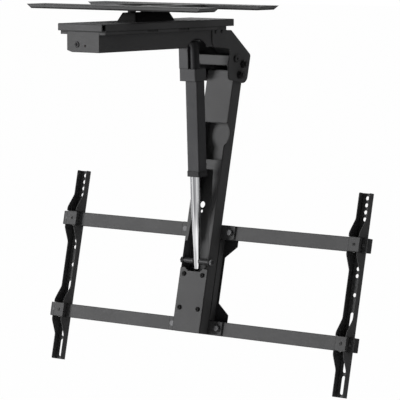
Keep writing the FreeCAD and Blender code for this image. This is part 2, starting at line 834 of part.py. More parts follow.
def front_fittings():
    """Power jack and indicator lens in the front wall."""
    jack = Piece("power_jack", **HOUSE)
    spot = ("jack_x", "-jack_drop")
    barrel = jack.sketch("XZ", "box_front").circle(*spot, "jack_width")
    jack.pad(barrel, "jack_length", -1)
    ring = jack.sketch("XZ", "box_front").circle(*spot, "jack_ring_width")
    jack.pad(ring, "jack_ring_height", 1)
    rim = is_rim("y", "box_front + jack_ring_height", "jack_ring_width")
    jack.round_edges("dome_share*jack_ring_height", rim)
    bore = jack.sketch("XZ", "box_front + jack_ring_height").circle(*spot, "jack_bore")
    jack.cut(bore, "jack_bore_depth", -1)
    pin = jack.sketch("XZ", "box_front + jack_ring_height - jack_bore_depth").circle(*spot, "jack_pin")
    jack.pad(pin, "jack_bore_depth - jack_pin_setback", 1)
    headed("led_lens", "XZ", [("-led_x", "-led_drop")], "box_front", 1, "led_flange", "led_rim",
           "led_width", "led_length", rim="Fillet", rim_size="led_bevel", **HOUSE)
    control = Piece("control_box", **HOUSE)
    block = control.sketch("XY", "box_sheet - box_drop")
    block.box("-control_width/2", "control_width/2 - box_bevel_x/2", "control_front - control_length",
              "control_front")
    control.pad(block, "control_height")
    control.round_edges("control_corner", lambda edge: is_along(edge, "z"))
    headed("lid_screws", "XY", lid_screw_places(), "-lid_height - box_sheet", -1, "lid_screw_head",
           "lid_screw_head_height", "lid_screw_shank", "box_sheet + lid_sheet + lid_screw_end", **HOUSE)


# The cheek's outline in the housing's side view, from the front of its top edge downwards
CHEEK = (
    ("-cheek_front", "-lid_height"),
    ("-cheek_front", "-cheek_nose_drop"),
    ("-cheek_break", "-cheek_throat_drop"),
    ("-cheek_waist", "-cheek_waist_drop"),
    ("-cheek_foot", "-cheek_foot_drop"),
    ("-cheek_heel", "-cheek_heel_drop"),
    ("-cheek_tail", "-cheek_tail_drop"),
    ("-cheek_break", "-cheek_shoulder_drop"),
    ("-cheek_shoulder", "-cheek_shoulder_drop"),
    ("-cheek_shoulder", "-lid_height"),
)


def cheeks():
    """Side plates that carry the arm's hinge, screwed to the housing's walls."""
    for side, name in ((1, "left"), (-1, "right")):
        cheek = Piece(f"cheek_{name}", **HOUSE)
        outline = cheek.sketch("YZ", f"{side}*box_width/2").polygon(*CHEEK)
        cheek.pad(outline, "cheek_sheet", side)
        cheek.round_corners("x", "cheek_nose_radius", CHEEK[1:2])
        cheek.round_corners("x", "cheek_tail_radius", CHEEK[5:6])
        cheek.round_corners("x", "cheek_corner_radius", [*CHEEK[2:5], *CHEEK[6:8]])
        holes = cheek.sketch("YZ", "0")
        for y, z in cheek_screw_places():
            holes.circle(y, z, "cheek_screw_shank + 2*hole_play")
        holes.circle("-tie_back", "-tie_drop", "tie_shank + 2*hole_play")
        holes.circle("-boss_back", "-boss_drop", "boss_shank + 2*hole_play")
        holes.circle("-hinge_back", "-hinge_drop", "hinge_shank + 2*hole_play")
        cheek.cut(holes)
    screws = headed("cheek_screws", "YZ", cheek_screw_places(), CHEEK_OUT, 1, "cheek_screw_head",
                    "cheek_screw_head_height", "cheek_screw_shank",
                    "cheek_sheet + box_sheet + cheek_screw_end", **HOUSE)
    screws.mirror()


def hinge_back_plate():
    """Plate folded along the cheeks' rear edges, which closes the back between them."""
    plate = Piece("hinge_back_plate", **HOUSE)
    slope = "atan((cheek_tail_drop - cheek_shoulder_drop)/(cheek_tail - cheek_break))"
    steep = "atan((cheek_tail - cheek_heel)/(cheek_heel_drop - cheek_tail_drop))"
    sheet = "closure_sheet"
    start = "-box_back - moving_gap"
    end = f"-cheek_tail + (closure_drop - cheek_tail_drop)*tan({steep})"
    fold = f"tan((90 deg + {steep} - {slope})/2)"
    outer = [(start, "-cheek_shoulder_drop"), ("-cheek_break", "-cheek_shoulder_drop"),
             ("-cheek_tail", "-cheek_tail_drop"), (end, "-closure_drop")]
    inner = [(f"{end} + {sheet}/cos({steep})", "-closure_drop"),
             (f"-cheek_tail + {sheet}*(sin({slope}) + {fold}*cos({slope}))",
              f"-cheek_tail_drop - {sheet}*(cos({slope}) - {fold}*sin({slope}))"),
             (f"-cheek_break + {sheet}*tan({slope}/2)", f"-cheek_shoulder_drop - {sheet}"),
             (start, f"-cheek_shoulder_drop - {sheet}")]
    outline = plate.sketch("YZ", "0").polygon(*outer, *inner)
    plate.pad(outline, "box_width", 0)
    plate.round_corners("x", "cheek_corner_radius", outer[1:3])
    plate.round_corners("x", f"cheek_corner_radius - {sheet}", inner[1:3])


def hinge_strap():
    """U-shaped strap between the cheeks, with an ear along each."""
    strap = Piece("hinge_strap", **HOUSE)
    half = "box_width/2"
    outline = strap.sketch("XY", "-strap_bottom")
    outline.polygon((f"-{half}", "-strap_face - strap_reach"), (f"-{half}", "-strap_face"),
                    (half, "-strap_face"), (half, "-strap_face - strap_reach"),
                    (f"{half} - strap_sheet", "-strap_face - strap_reach"),
                    (f"{half} - strap_sheet", "-strap_face - strap_sheet"),
                    (f"strap_sheet - {half}", "-strap_face - strap_sheet"),
                    (f"strap_sheet - {half}", "-strap_face - strap_reach"))
    strap.pad(outline, "strap_ear_height")
    strap.round_corners("z", "strap_sheet", [(f"-{half}", "-strap_face"), (half, "-strap_face")])
    front = "overcut - strap_face"
    rear = "-strap_face - strap_reach - overcut"
    top = "strap_ear_height - strap_bottom"
    trims = strap.sketch("YZ", "0")
    trims.polygon((front, "-strap_face_top"), ("-strap_face - strap_sheet", "-strap_face_top"),
                  ("-strap_face - 2*strap_sheet", top), ("-strap_face - 2*strap_sheet", f"{top} + overcut"),
                  (front, f"{top} + overcut"))
    trims.polygon((rear, "-strap_ear_rear"), ("-boss_back - boss_head/2", top),
                  ("-boss_back - boss_head/2", f"{top} + overcut"), (rear, f"{top} + overcut"))
    trims.polygon((front, "-strap_face_bottom"), ("-strap_face - strap_sheet", "-strap_face_bottom"),
                  ("-strap_face - 2*strap_sheet", "-strap_bottom"),
                  ("-strap_face - 2*strap_sheet", "-strap_bottom - overcut"),
                  (front, "-strap_bottom - overcut"))
    strap.cut(trims)
    holes = strap.sketch("YZ", "0")
    holes.circle("-tie_back", "-tie_drop", "tie_shank + 2*hole_play")
    holes.circle("-boss_back", "-boss_drop", "boss_shank + 2*hole_play")
    strap.cut(holes)


def cross_bolt(name, y, z, shank, across, head_height, nut_height, thread_end, washer="0"):
    """A bolt right through both cheeks, with its nut on the right-hand side."""
    reach = f"({CHEEK_OUT} + {washer})"
    headed(f"{name}_bolt", "YZ", [(y, z)], reach, 1, across, head_height, shank,
           f"2*{reach} + {nut_height} + {thread_end}", hexagonal=True, **HOUSE)
    nuts(f"{name}_nut", "YZ", [(y, z)], f"-{reach}", -1, across, nut_height,
         f"{shank} + 2*hole_play", **HOUSE)


def hinge_fasteners():
    cross_bolt("tie", "-tie_back", "-tie_drop", "tie_shank", "tie_across", "tie_head_height",
               "tie_nut_height", "tie_thread_end")
    cross_bolt("hinge", "-hinge_back", "-hinge_drop", "hinge_shank", "hinge_across", "hinge_head_height",
               "hinge_nut_height", "hinge_thread_end", "hinge_washer_sheet")
    washers = Piece("hinge_washers", **HOUSE)
    ring = washers.sketch("YZ", CHEEK_OUT)
    ring.circle("-hinge_back", "-hinge_drop", "hinge_washer_width")
    ring.circle("-hinge_back", "-hinge_drop", "hinge_shank + 2*hole_play")
    washers.pad(ring, "hinge_washer_sheet")
    washers.mirror()
    spot = [("-boss_back", "-boss_drop")]
    inner = "(box_width/2 - strap_sheet)"
    screws = headed("strap_screws", "YZ", spot, CHEEK_OUT, 1, "boss_head", "boss_head_height",
                    "boss_shank", f"{CHEEK_OUT} - {inner} + boss_nut_height + boss_thread_end",
                    rim="Fillet", socket="boss_socket", **HOUSE)
    screws.mirror()
    strap_nuts = nuts("strap_nuts", "YZ", spot, inner, -1, "boss_nut_across", "boss_nut_height",
                      "boss_shank + 2*hole_play", **HOUSE)
    strap_nuts.mirror()


def actuator_lugs():
    """A lug on each inner wall, with a stub that points at the actuator's eye."""
    for side, name, reach in ((1, "left", "(gearbox_left - column_inset)"), (-1, "right", "column_right")):
        lug = Piece(f"actuator_lug_{name}", **HOUSE)
        plate = lug.sketch("YZ", f"{side}*{BOX_IN}")
        plate.box("-eye_back - lug_depth/2", "lug_depth/2 - eye_back",
                  "-eye_drop - lug_height/2", "lug_height/2 - eye_drop")
        lug.pad(plate, "lug_sheet", -side)
        stub = lug.sketch("YZ", f"{side}*({BOX_IN} - lug_sheet)")
        stub.circle("-eye_back", "-eye_drop", "eye_shank")
        lug.pad(stub, f"{BOX_IN} - lug_sheet - {reach} - lug_play", -side)


def arm_channel():
    """Folded box-section arm: windows in its front, a tapering mouth and an open foot."""
    arm = Piece("arm_channel", **ARM)
    half = ARM_HALF
    body = arm.sketch("XY", "-arm_bottom").box(f"-{half}", half, "head_sheet", "arm_front")
    arm.pad(body, f"arm_bottom + {ARM_TOP}")
    arm.round_corners("x", "arm_back_radius", [("head_sheet", ARM_TOP)])
    arm.round_corners("x", "arm_front_radius", [("arm_front", ARM_TOP)])
    corners = [(x, y) for x in (f"-{half}", half) for y in ("head_sheet", "arm_front")]
    arm.round_corners("z", "arm_bend", corners)
    hollow = arm.sketch("XY", "-arm_bottom").box(f"-{ARM_IN}", ARM_IN, "head_sheet + arm_sheet",
                                                  "arm_front - arm_sheet")
    arm.cut(hollow, None, 1)
    foot = arm.sketch("XZ", "arm_front")
    foot.box(f"-{half} - overcut", f"{half} + overcut", "-arm_bottom - overcut", "cover_ear - cover_top")
    arm.cut(foot, "cover_sheet", -1)
    for side in (-1, 1):
        ends = sorted([f"{side}*{ARM_IN}", f"{side}*({ARM_IN} - cover_lip_width)"], key=number)
        lip = arm.sketch("XZ", COVER_BACK)
        lip.box(ends[0], ends[1], "-arm_bottom", "-cover_top - cover_lip_gap")
        arm.pad(lip, "arm_sheet", -1)
    windows = arm.sketch("XZ", "arm_front + overcut")
    windows.box(f"-{ARM_IN}", ARM_IN, "window_bottom", "window_top")
    windows.polygon(("-mouth_top_half", "bridge_bottom"), ("-mouth_upper_half", "mouth_upper"),
                    ("-mouth_lower_half", "mouth_lower"), (f"-{ARM_IN}", "lip_end"),
                    (f"-{ARM_IN}", "-cover_top - overcut"), (ARM_IN, "-cover_top - overcut"),
                    (ARM_IN, "lip_cut_top"),
                    ("mouth_lower_half", "lip_cut_top"), ("mouth_upper_half", "mouth_upper"),
                    ("mouth_top_half", "bridge_bottom"))
    arm.cut(windows, "arm_sheet + overcut", -1)
    scallop = arm.sketch("YZ", "0").circle("scallop_out", "scallop_up", "2*scallop_radius")
    arm.cut(scallop)
    web_holes = arm.sketch("XZ", "head_sheet")
    web_holes.circle("cable_hole_x", "cable_hole_up", "cable_hole_width")
    web_holes.circle("cable_hole_x", "tie_hole_up", "tie_hole_width")
    arm.cut(web_holes, "arm_sheet", 1)
    bolt_holes = arm.sketch("XZ", COVER_BACK)
    for x, z in cover_bolt_places():
        bolt_holes.circle(x, z, "cover_bolt_shank + 2*hole_play")
    arm.cut(bolt_holes, "arm_sheet", -1)
    pivots = arm.sketch("YZ", "0")
    pivots.circle("hinge_out", "hinge_up", "hinge_shank + 2*running_fit + 2*bush_wall + 2*hole_play")
    pivots.circle("pin_out", "-pin_down", "pin_shank + 2*hole_play")
    arm.cut(pivots)
    bushes = Piece("hinge_bushes", **ARM)
    inner = "hinge_shank + 2*running_fit"
    sleeve = bushes.sketch("YZ", ARM_IN)
    sleeve.circle("hinge_out", "hinge_up", f"{inner} + 2*bush_wall")
    sleeve.circle("hinge_out", "hinge_up", inner)
    bushes.pad(sleeve, "arm_sheet")
    flange = bushes.sketch("YZ", half)
    flange.circle("hinge_out", "hinge_up", "bush_flange")
    flange.circle("hinge_out", "hinge_up", inner)
    bushes.pad(flange, "bush_collar")
    bushes.mirror()


def cover_bolt_places():
    return [(f"{side}*({ARM_HALF} - cover_bolt_inset)", f"-{down}")
            for side in (-1, 1) for down in ("cover_bolt_upper", "cover_bolt_lower")]


def arm_cover():
    """Plate over the arm's open foot, eared at the top, with four socket bolts."""
    cover = Piece("arm_cover", **ARM)
    half = ARM_HALF
    ear = "cover_ear - cover_top"
    outline = cover.sketch("XZ", COVER_BACK)
    outline.polygon((f"-{half}", "-arm_bottom"), (half, "-arm_bottom"), (half, f"{ear} - cover_ear_bevel"),
                    (f"{half} - cover_ear_bevel", ear), (f"{half} - cover_ear_width", ear),
                    ("cover_notch_half", "-cover_top"), ("-cover_notch_half", "-cover_top"),
                    (f"cover_ear_width - {half}", ear), (f"cover_ear_bevel - {half}", ear),
                    (f"-{half}", f"{ear} - cover_ear_bevel"))
    cover.pad(outline, "cover_sheet")
    cover.round_corners("y", "cover_corner", [(f"-{half}", "-arm_bottom"), (half, "-arm_bottom")])
    holes = cover.sketch("XZ", "arm_front")
    for x, z in cover_bolt_places():
        holes.circle(x, z, "cover_bolt_shank + 2*hole_play")
    cover.cut(holes)
    headed("cover_bolts", "XZ", cover_bolt_places(), "arm_front", 1, "cover_bolt_head",
           "cover_bolt_head_height", "cover_bolt_shank",
           "cover_sheet + arm_sheet + cover_nut_height + cover_bolt_end",
           socket="cover_bolt_socket", **ARM)
    nuts("cover_nuts", "XZ", cover_bolt_places(), f"{COVER_BACK} - arm_sheet", -1, "cover_nut_across",
         "cover_nut_height", "cover_bolt_shank + 2*hole_play", **ARM)


def rod_pin():
    """Cross pin that the rod's eye turns on, with a spacer on each side and a nut."""
    spot = [("pin_out", "-pin_down")]
    half = ARM_HALF
    headed("rod_pin", "YZ", spot, half, 1, "pin_across", "pin_head_height", "pin_shank",
           f"2*{half} + pin_nut_height + pin_thread_end", hexagonal=True, **ARM)
    nuts("rod_pin_nut", "YZ", spot, f"-{half}", -1, "pin_across", "pin_nut_height",
         "pin_shank + 2*hole_play", **ARM)
    spacers = Piece("pin_spacers", **ARM)
    ring = spacers.sketch("YZ", ARM_IN)
    ring.circle("pin_out", "-pin_down", "pin_spacer_width")
    ring.circle("pin_out", "-pin_down", "pin_shank + 2*hole_play")
    spacers.pad(ring, f"{ARM_IN} - rod_tip_width/2 - moving_gap", -1)
    spacers.mirror()


def tv_head():
    """Channel behind the arm, with a wing over each end of its grip on the bars."""
    head = Piece("tv_head", **ARM)
    half = "head_width/2"
    low = "(bar_pitch + bar_height/2)"
    face = head.sketch("XZ", "0")
    face.polygon((f"-{half}", f"-{low}"), ("-wing_half", f"-{low}"), ("-wing_half", "bar_height - " + low),
                 (f"-{half}", "bar_height - " + low), (f"-{half}", "-bar_height/2"),
                 ("-wing_half", "-bar_height/2"), ("-wing_half", "bar_height/2"),
                 ("wing_half", "bar_height/2"), ("wing_half", "-bar_height/2"), (half, "-bar_height/2"),
                 (half, "bar_height - " + low), ("wing_half", "bar_height - " + low),
                 ("wing_half", f"-{low}"), (half, f"-{low}"))
    head.pad(face, "head_sheet")
    ends = [(f"{side}*wing_half", z) for side in (-1, 1)
            for z in ("bar_height/2", "-bar_height/2", f"-{low}", "bar_height - " + low)]
    head.round_corners("y", "wing_corner", ends)
    for side in (-1, 1):
        xs = sorted([f"{side}*{half}", f"{side}*({half} - head_flange)"], key=number)
        flange = head.sketch("XZ", "0")
        flange.box(xs[0], xs[1], "bar_height + moving_gap - " + low, "-bar_height/2 - moving_gap")
        head.pad(flange, "bar_depth", -1)
    bolts = head.sketch("XZ", "0")
    for x, z in clamp_bolt_places():
        bolts.circle(x, z, "clamp_bolt_shank + 2*hole_play")
    head.cut(bolts)
    window = head.sketch("XZ", "0")
    window.circle("cable_hole_x", "-bar_pitch/2", "cable_hole_width")
    head.cut(window)


def clamp_bolt_places():
    return [(f"{side}*clamp_bolt_half", z) for side in (-1, 1) for z in ("0", "-bar_pitch")]


def head_back_plate():
    """Plate behind the bars, with four ears that take the clamping bolts."""
    back = Piece("head_back_plate", **ARM)
    low = "(bar_pitch + bar_height/2)"
    right = (("ear_half", "bar_height/2"), ("ear_half", "-upper_ear_edge"),
             ("ear_waist_half", "-upper_ear_end"), ("ear_waist_half", "-lower_ear_end"),
             ("ear_half", "-lower_ear_edge"), ("ear_half", f"-{low}"))
    left = tuple((f"-{x}", z) for x, z in reversed(right))
    outline = back.sketch("XZ", BAR_BACK).polygon(*right, *left)
    back.pad(outline, "back_sheet", -1)
    back.round_corners("y", "wing_corner", [right[0], right[5], left[0], left[5]])
    holes = back.sketch("XZ", "0")
    for x, z in clamp_bolt_places():
        holes.circle(x, z, "clamp_bolt_shank + 2*hole_play")
    back.cut(holes)
    headed("clamp_bolts", "XZ", clamp_bolt_places(), "head_sheet", 1, "clamp_bolt_across",
           "clamp_bolt_head_height", "clamp_bolt_shank",
           "head_sheet + bar_depth + back_sheet + clamp_nut_height + clamp_thread_end",
           hexagonal=True, **ARM)
    nuts("clamp_nuts", "XZ", clamp_bolt_places(), f"{BAR_BACK} - back_sheet", -1, "clamp_bolt_across",
         "clamp_nut_height", "clamp_bolt_shank + 2*hole_play", **ARM)


def crossbars():
    """Two rectangular tubes, their end caps and the stop screws near their ends."""
    tube = "bar_length/2 - cap_flange"
    for name, z in (("upper", "0"), ("lower", "-bar_pitch")):
        bar = Piece(f"{name}_crossbar", **ARM)
        outer = bar.sketch("YZ", "0").box("-bar_depth", "0", f"{z} - bar_height/2", f"{z} + bar_height/2")
        bar.pad(outer, f"2*({tube})", 0)
        bar.round_edges("bar_corner", lambda edge: is_along(edge, "x"))
        inner = bar.sketch("YZ", "0")
        inner.box("bar_wall - bar_depth", "-bar_wall", f"{z} - bar_height/2 + bar_wall",
                  f"{z} + bar_height/2 - bar_wall")
        bar.cut(inner)
        holes = bar.sketch("XZ", "0")
        for side in (-1, 1):
            holes.circle(f"{side}*clamp_bolt_half", z, "clamp_bolt_shank + 2*hole_play")
        bar.cut(holes)
        stops = bar.sketch("XZ", "0")
        for side in (-1, 1):
            stops.circle(f"{side}*{STOP_X}", z, "stop_shank + 2*hole_play")
        bar.cut(stops, "bar_wall", -1)
    caps = Piece("end_caps", **ARM)
    covers = caps.sketch("YZ", tube)
    plugs = caps.sketch("YZ", tube)
    play = "(bar_wall + hole_play)"
    for z in ("0", "-bar_pitch"):
        covers.box("-bar_depth", "0", f"{z} - bar_height/2", f"{z} + bar_height/2")
        plugs.box(f"{play} - bar_depth", f"-{play}", f"{z} - bar_height/2 + {play}",
                  f"{z} + bar_height/2 - {play}")
    caps.pad(covers, "cap_flange")
    caps.round_edges("bar_corner", lambda edge: is_along(edge, "x"))
    caps.pad(plugs, "stop_inset - cap_flange - stop_head/2", -1)
    caps.mirror()
    spots = [(f"{side}*{STOP_X}", z) for side in (-1, 1) for z in ("0", "-bar_pitch")]
    headed("stop_screws", "XZ", spots, "0", 1, "stop_head", "stop_head_height", "stop_shank",
           "bar_wall + stop_end", **ARM)


def bracket_frame(x):
    return {"x": x, **ARM}


def bracket(name, x):
    """Wavy-edged channel that hooks over both bars and takes the television's screws."""
    piece = Piece(f"bracket_{name}", **bracket_frame(x))
    front = "flange_front"
    outline = piece.sketch("YZ", "0")
    bumps = [("upper_bump_top", 1), ("-upper_bump_bottom", -1), ("-lower_bump_top", 1),
             ("-lower_bump_bottom", -1)]
    wave = []
    for place, way in bumps:
        low = (front, place)
        high = ("bump_front", f"{place} - {way}*bump_slope")
        wave += [low, high] if way > 0 else [high, low]
    outline.polygon(("-bracket_back", "bracket_top"), (front, "bracket_top"), *wave,
                    (front, "-bracket_bottom"), ("-bracket_back", "-bracket_bottom"))
    piece.pad(outline, "bracket_width", 0)
    piece.round_corners("x", "bump_radius", wave)
    piece.round_corners("x", "bracket_corner", [(front, "bracket_top"), (front, "-bracket_bottom")])
    inside = piece.sketch("XY", "-bracket_bottom - overcut")
    inside.box("bracket_sheet - bracket_width/2", "bracket_width/2 - bracket_sheet",
               "bracket_sheet - bracket_back", "bump_front + overcut")
    piece.cut(inside, None, 1)
    gate = piece.sketch("YZ", "0")
    for z in ("0", "-bar_pitch"):
        gate.box("-bar_depth - moving_gap", "bump_front + overcut",
                 f"{z} - bar_height/2 - moving_gap", f"{z} + bar_height/2 + moving_gap")
    piece.cut(gate)
    holes = piece.sketch("XZ", "-bracket_back")
    for step in range(4):
        holes.circle("0", f"upper_hole - {step}*hole_pitch", "bracket_hole")
    holes.circle("0", "-middle_hole", "bracket_hole")
    holes.circle("0", "-middle_hole - hole_pitch", "bracket_hole")
    holes.circle("0", "-single_hole", "bracket_hole")
    for slot in ("upper_slot", "middle_slot", "lower_slot"):
        holes.slot("0", f"-{slot}_top - {slot}_length", f"-{slot}_top", "slot_width")
    piece.cut(holes, "bracket_sheet", 1)


def bracket_clips(name, x):
    """Clips that close a bracket's gates in front of the bars, each with a set screw."""
    clips = Piece(f"clips_{name}", **bracket_frame(x))
    front = clips.sketch("XZ", "clip_front")
    leg = clips.sketch("XZ", "clip_front - clip_sheet")
    inner = "(bracket_width/2 - bracket_sheet)"
    for z in ("0", "-bar_pitch"):
        front.box("-bracket_width/2", "bracket_width/2", f"{z} - bar_height/2", f"{z} + bar_height/2")
        for side in (-1, 1):
            xs = sorted([f"{side}*{inner}", f"{side}*({inner} - clip_leg)"], key=number)
            leg.box(xs[0], xs[1], f"{z} - clip_leg_height/2", f"{z} + clip_leg_height/2")
    clips.pad(front, "clip_sheet", -1)
    clips.pad(leg, "clip_front - clip_sheet - moving_gap", -1)
    holes = clips.sketch("XZ", "clip_front")
    for z in ("0", "-bar_pitch"):
        holes.circle("0", z, "set_screw + 2*hole_play")
    clips.cut(holes, "clip_sheet", -1)
    spots = [("0", "0"), ("0", "-bar_pitch")]
    screws = Piece(f"set_screws_{name}", **bracket_frame(x))
    shanks = screws.sketch("XZ", "clip_front + set_screw_out")
    sockets = screws.sketch("XZ", "clip_front + set_screw_out")
    for spot in spots:
        shanks.circle(*spot, "set_screw")
        sockets.hexagon(*spot, "set_screw_socket")
    screws.pad(shanks, "clip_front + set_screw_out - moving_gap", -1)
    screws.cut(sockets, "2*set_screw_out", -1)


def rod():
    """Hollow rod that tapers to a cross-drilled tip, with the drive nut on its upper end."""
    piece = Piece("rod", **ROD)
    profile = piece.sketch("XZ", "0")
    profile.polygon(("0", "-rod_tip"), ("rod_tip_width/2 - rod_bevel", "-rod_tip"),
                    ("rod_tip_width/2", "rod_bevel - rod_tip"), ("rod_tip_width/2", "rod_tip"),
                    ("rod_width/2", "rod_cone"), ("rod_width/2", "rod_length"), ("0", "rod_length"))
    piece.turn(profile)
    bore = piece.sketch("XY", "rod_bore_start").circle("0", "0", "rod_bore")
    piece.cut(bore, None, 1)
    eye = piece.sketch("YZ", "0").circle("0", "0", "pin_shank + 2*running_fit")
    piece.cut(eye)
    nut = Piece("drive_nut", **ROD)
    ring = nut.sketch("XY", "rod_length")
    ring.circle("0", "0", "nut_width")
    ring.circle("0", "0", "screw_width + 2*running_fit")
    nut.pad(ring, "nut_length")


def actuator():
    """Gearbox with its eye, the motor that stands on its step, tube, end cap and lead screw."""
    gearbox = Piece("gearbox", **ACTUATOR)
    block = gearbox.sketch("XY", "-gearbox_drop")
    block.box("-gearbox_right", "gearbox_left", "-gearbox_rear", "gearbox_front")
    gearbox.pad(block, "gearbox_drop - gearbox_step")
    gearbox.round_edges("gearbox_corner", lambda edge: is_along(edge, "z"))
    left = "gearbox_left - column_inset"
    front = "gearbox_front - column_inset"
    column = gearbox.sketch("XY", "-gearbox_step").box("-column_right", left, "-column_rear", front)
    gearbox.pad(column, "gearbox_step + eye_radius")
    crown = [("-column_rear", "eye_radius"), (front, "eye_radius")]
    gearbox.round_corners("x", "eye_radius - eye_crown", crown)
    eye = gearbox.sketch("YZ", "0").circle("0", "0", "eye_shank + 2*hole_play")
    gearbox.cut(eye)
    pin = Piece("eye_pin", **ACTUATOR)
    shaft = pin.sketch("YZ", "-column_right").circle("0", "0", "eye_shank")
    pin.pad(shaft, f"column_right + {left}")
    motor = Piece("motor", **ACTUATOR)
    can = motor.sketch("XY", "-gearbox_step").circle("-motor_x", "motor_out", "motor_width")
    motor.pad(can, "motor_length")
    cap = motor.sketch("XY", "motor_length - gearbox_step")
    cap.circle("-motor_x", "motor_out", "motor_cap_width")
    motor.pad(cap, "motor_cap_height")
    rim = is_rim("z", "motor_length + motor_cap_height - gearbox_step", "motor_cap_width")
    motor.round_edges("motor_cap_bevel", rim, "Chamfer")
    tube = Piece("actuator_tube", **ACTUATOR)
    right = "(-tube_shift - tube_width/2)"
    left = "(tube_width/2 - tube_shift)"
    front = "tube_front"
    rear = "-tube_rear"
    outer = tube.sketch("XY", "-gearbox_drop").box(right, left, rear, front)
    tube.pad(outer, "tube_length", -1)
    tube.round_corners("z", "tube_round", [(left, rear), (left, front)])
    tube.round_corners("z", "tube_corner", [(right, rear), (right, front)])
    bore = tube.sketch("XY", "-gearbox_drop").circle("0", "0", "tube_bore")
    tube.cut(bore, None, -1)
    cap = Piece("tube_end_cap", **ACTUATOR)
    right = f"({right} - tube_cap_wall)"
    left = f"({left} + tube_cap_wall)"
    front = "tube_front + tube_cap_wall"
    rear = "-tube_rear - tube_cap_wall"
    collar = cap.sketch("XY", "-gearbox_drop - tube_length").box(right, left, rear, front)
    cap.pad(collar, "tube_cap_height", -1)
    cap.round_corners("z", "tube_round + tube_cap_wall", [(left, rear), (left, front)])
    cap.round_corners("z", "tube_corner + tube_cap_wall", [(right, rear), (right, front)])
    hole = cap.sketch("XY", "-gearbox_drop - tube_length").circle("0", "0", "rod_width + 2*running_fit")
    cap.cut(hole, None, -1)
    screw = Piece("lead_screw", **ACTUATOR)
    spindle = screw.sketch("XY", "-gearbox_drop").circle("0", "0", "screw_width")
    screw.pad(spindle, "screw_length - gearbox_drop", -1)


ceiling_plate()
swivel()
swivel_base()
housing_lid()
housing_box()
front_fittings()
cheeks()
hinge_back_plate()
hinge_strap()
hinge_fasteners()
actuator_lugs()
arm_channel()
arm_cover()
rod_pin()
tv_head()
head_back_plate()
crossbars()
for side_name, bracket_x in (("left", LEFT_X), ("right", RIGHT_X)):
    bracket(side_name, bracket_x)
    bracket_clips(side_name, bracket_x)
rod()
actuator()
doc.recompute()

for item in doc.Objects:
    if {"Invalid", "Error"} & set(item.State):
        raise RuntimeError(f"{item.Label} did not compute: {item.State}")
for piece in pieces:
    shape = piece.body.Shape
    if shape.isNull() or not shape.isValid() or not shape.Solids:
        raise RuntimeError(f"{piece.label} has no valid shape")

os.makedirs("parts", exist_ok=True)
for piece in pieces:
    piece.body.Shape.exportStep(f"parts/{piece.label}.step")
    print(f"{piece.label}: {len(piece.body.Shape.Solids)} solids, {piece.body.Shape.Volume/1000:.1f} cm3")
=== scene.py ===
"""Looks of a motorized television ceiling mount: satin black powder coat, chrome rod and studio light."""

import math
from typing import NamedTuple

import bpy
from mathutils import Matrix, Vector


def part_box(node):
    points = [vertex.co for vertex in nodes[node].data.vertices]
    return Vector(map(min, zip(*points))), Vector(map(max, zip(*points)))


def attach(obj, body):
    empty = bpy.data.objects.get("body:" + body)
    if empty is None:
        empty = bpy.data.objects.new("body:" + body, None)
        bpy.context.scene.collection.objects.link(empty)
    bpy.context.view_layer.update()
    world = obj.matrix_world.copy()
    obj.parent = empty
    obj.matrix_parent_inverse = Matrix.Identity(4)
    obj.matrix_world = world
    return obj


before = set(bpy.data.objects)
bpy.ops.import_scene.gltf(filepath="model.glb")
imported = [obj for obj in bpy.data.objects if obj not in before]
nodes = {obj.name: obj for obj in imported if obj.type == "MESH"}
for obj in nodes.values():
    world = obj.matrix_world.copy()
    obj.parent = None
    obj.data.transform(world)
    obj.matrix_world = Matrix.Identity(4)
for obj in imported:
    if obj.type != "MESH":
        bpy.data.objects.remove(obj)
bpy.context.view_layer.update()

# Colours, linear
COAT_DARK = (0.062, 0.062, 0.063)
COAT_LIGHT = (0.067, 0.067, 0.068)
COAT_EDGE = (0.075, 0.075, 0.077)
# Painted shade: a near-black line along every edge, where a rounded edge would turn away from the light
PAINTED_EDGE_SHADE = (0.007, 0.007, 0.007)
STEEL_DARK = (0.018, 0.018, 0.019)
STEEL_LIGHT = (0.030, 0.030, 0.031)
STEEL_EDGE = (0.12, 0.12, 0.125)
CASE_DARK = (0.050, 0.050, 0.052)
CASE_LIGHT = (0.056, 0.056, 0.058)
CASE_EDGE = (0.08, 0.08, 0.082)
DULL_DARK = (0.036, 0.036, 0.038)
DULL_LIGHT = (0.041, 0.041, 0.043)
# Painted shade: the black coat made darker for the head's back plate, which lies in shade behind the bars
HEAD_PLATE_SHADE_DARK = (0.026, 0.026, 0.027)
HEAD_PLATE_SHADE_LIGHT = (0.030, 0.030, 0.031)
# Near black, darker than any paint: the own black of the swivel base and the cover bolts, darkened further
# with painted shade beneath the ceiling plate and in the bolts' sockets
BLACK_AND_SHADE_DARK = (0.003, 0.003, 0.003)
BLACK_AND_SHADE_LIGHT = (0.005, 0.005, 0.005)
PLASTIC_DARK = (0.011, 0.011, 0.012)
PLASTIC_LIGHT = (0.017, 0.017, 0.018)
PLASTIC_EDGE = (0.045, 0.045, 0.046)
GREY_DARK = (0.105, 0.105, 0.108)
GREY_LIGHT = (0.135, 0.135, 0.14)
# Painted reflection: dark and light bands on the chrome rod, where a mirror would show dark things beside it
CHROME_REFLECTION_DARK = (0.22, 0.22, 0.23)
CHROME_REFLECTION_LIGHT = (0.93, 0.93, 0.94)
ZINC_DARK = (0.38, 0.39, 0.40)
ZINC_LIGHT = (0.62, 0.62, 0.63)
BRASS_DARK = (0.42, 0.29, 0.10)
BRASS_LIGHT = (0.62, 0.46, 0.19)
LENS_COLOUR = (0.006, 0.004, 0.004)
LENS_FROST = (0.014, 0.009, 0.009)
FLOOR_COLOUR = (0.92, 0.92, 0.92)
WHITE = (1.0, 1.0, 1.0)

